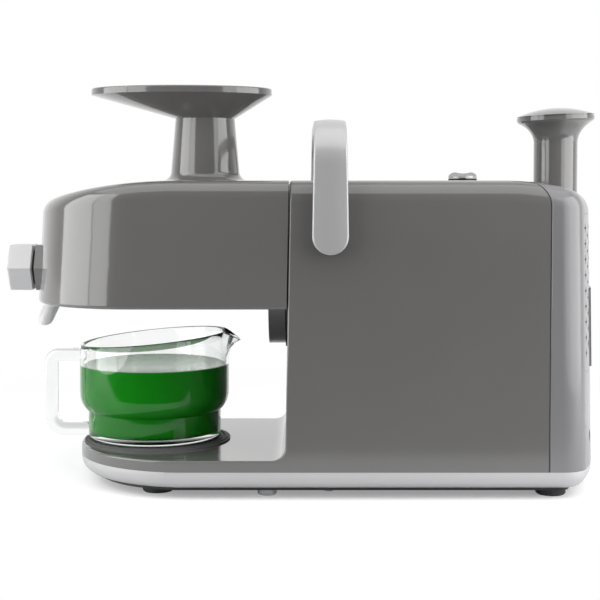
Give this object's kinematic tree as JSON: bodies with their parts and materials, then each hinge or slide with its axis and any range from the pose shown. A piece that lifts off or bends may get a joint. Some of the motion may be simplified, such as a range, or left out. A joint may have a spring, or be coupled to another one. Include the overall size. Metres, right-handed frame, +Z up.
{
  "type": "twin gear juicer",
  "caption": "Electric cold-press juicer: motor tower on a low platform, sliding press head with twin helical gears, oval feed tray, bail handle, plunger and clear jug.",
  "frame": {"origin": "on the floor under the middle of the machine's bounding box", "axes": "+X from the pulp outlet at the front to the rear, +Y across, +Z up"},
  "size_m": [0.4795, 0.206, 0.3198],
  "materials": {
    "gloss_grey": "gloss",
    "mid_grey": "gloss",
    "silver": "metallic lacquer",
    "black": "matte",
    "dark_plastic": "satin",
    "rubber": "matte",
    "steel": "satin",
    "bronze": "plain",
    "copper": "plain",
    "clear": "clear",
    "board": "plain",
    "white_plastic": "plain"
  },
  "bodies": {
    "base": {"base_trim": "silver", "bottom_plate": "black", "bottom_screws": "steel", "front_feet": "rubber", "rear_feet": "rubber", "support_posts": "silver", "pitcher_pad": "rubber", "main_shell": "gloss_grey", "rear_cover": "mid_grey", "vent_grilles": "mid_grey", "rear_cover_screws": "steel", "cord_gland": "black", "coupling_plate": "black", "dial_seat": "dark_plastic", "switch_body": "dark_plastic", "handle_pivots": "steel", "gearbox_case": "dark_plastic", "gearbox_cover": "dark_plastic", "shaft_bearings": "bronze", "motor_can": "steel", "motor_stator": "copper", "motor_end_bell": "steel", "motor_cradle": "black", "capacitor": "white_plastic", "control_board": "board"},
    "drive_shaft": {"drive_shaft": "steel"},
    "idler_shaft": {"idler_shaft": "steel"},
    "counter_shaft": {"counter_shaft": "steel"},
    "motor_rotor": {"motor_rotor": "steel", "cooling_fan": "black"},
    "head": {"head_cover": "gloss_grey", "gear_housing": "silver", "head_seal": "rubber", "juice_screen": "steel", "pulp_casing": "white_plastic", "gear_bushes": "bronze", "pulp_spout": "clear", "juice_funnel": "white_plastic"},
    "output_press_gear": {"output_press_gear": "steel"},
    "idler_press_gear": {"idler_press_gear": "steel"},
    "pulp_plug": {"pulp_plug": "silver"},
    "pulp_knob": {"pulp_knob": "silver"},
    "feed_tray": {"feed_tray": "gloss_grey"},
    "plunger": {"plunger": "gloss_grey"},
    "handle": {"handle": "silver"},
    "control_knob": {"control_knob": "silver"},
    "pitcher": {"pitcher": "clear"}
  },
  "joints": [
    {"name": "handle_swing", "type": "hinge", "parent": "base", "child": "handle", "pos_m": [0.0204, 0, 0.2023], "axis": [0, 1, 0], "range_deg": [-35, 40]},
    {"name": "dial_turn", "type": "hinge", "parent": "base", "child": "control_knob", "pos_m": [0.1315, 0, 0.25], "axis": [0, 0, 1], "range_deg": [-45, 45]},
    {"name": "plunger_lift", "type": "slide", "parent": "base", "child": "plunger", "axis": [0, 0, 1], "range_m": [0, 0.13]},
    {"name": "pitcher_slide", "type": "slide", "parent": "base", "child": "pitcher", "axis": [-1, 0, 0], "range_m": [0, 0.2]},
    {"name": "head_slide", "type": "slide", "parent": "base", "child": "head", "axis": [-1, 0, 0], "range_m": [0, 0.022]},
    {"name": "tray_lift", "type": "slide", "parent": "head", "child": "feed_tray", "axis": [0, 0, 1], "range_m": [0, 0.06]},
    {"name": "pulp_knob_turn", "type": "hinge", "parent": "pulp_plug", "child": "pulp_knob", "pos_m": [-0.23, 0, 0.1736], "axis": [1, 0, 0], "range_deg": [0, 720]},
    {"name": "pulp_plug_slide", "type": "slide", "parent": "head", "child": "pulp_plug", "axis": [-1, 0, 0], "range_m": [0, 0.005]},
    {"name": "drive_spin", "type": "hinge", "parent": "base", "child": "drive_shaft", "pos_m": [0, -0.016, 0.1736], "axis": [1, 0, 0], "continuous": true},
    {"name": "idler_spin", "type": "hinge", "parent": "base", "child": "idler_shaft", "pos_m": [0, 0.016, 0.1736], "axis": [1, 0, 0], "continuous": true},
    {"name": "counter_spin", "type": "hinge", "parent": "base", "child": "counter_shaft", "pos_m": [0, -0.016, 0.1236], "axis": [1, 0, 0], "continuous": true},
    {"name": "motor_spin", "type": "hinge", "parent": "base", "child": "motor_rotor", "pos_m": [0.1, 0, 0.09135], "axis": [1, 0, 0], "continuous": true},
    {"name": "output_press_spin", "type": "hinge", "parent": "head", "child": "output_press_gear", "pos_m": [-0.1, -0.016, 0.1736], "axis": [1, 0, 0], "continuous": true},
    {"name": "idler_press_spin", "type": "hinge", "parent": "head", "child": "idler_press_gear", "pos_m": [-0.1, 0.016, 0.1736], "axis": [1, 0, 0], "continuous": true}
  ],
  "couplings": [
    {"joint": "idler_spin", "follows": "drive_spin", "ratio": -1},
    {"joint": "counter_spin", "follows": "drive_spin", "ratio": -4},
    {"joint": "motor_spin", "follows": "drive_spin", "ratio": 12},
    {"joint": "output_press_spin", "follows": "drive_spin", "ratio": 1},
    {"joint": "idler_press_spin", "follows": "drive_spin", "ratio": -1},
    {"joint": "pulp_plug_slide", "follows": "pulp_knob_turn", "m_per_rad": 0.00039789}
  ]
}
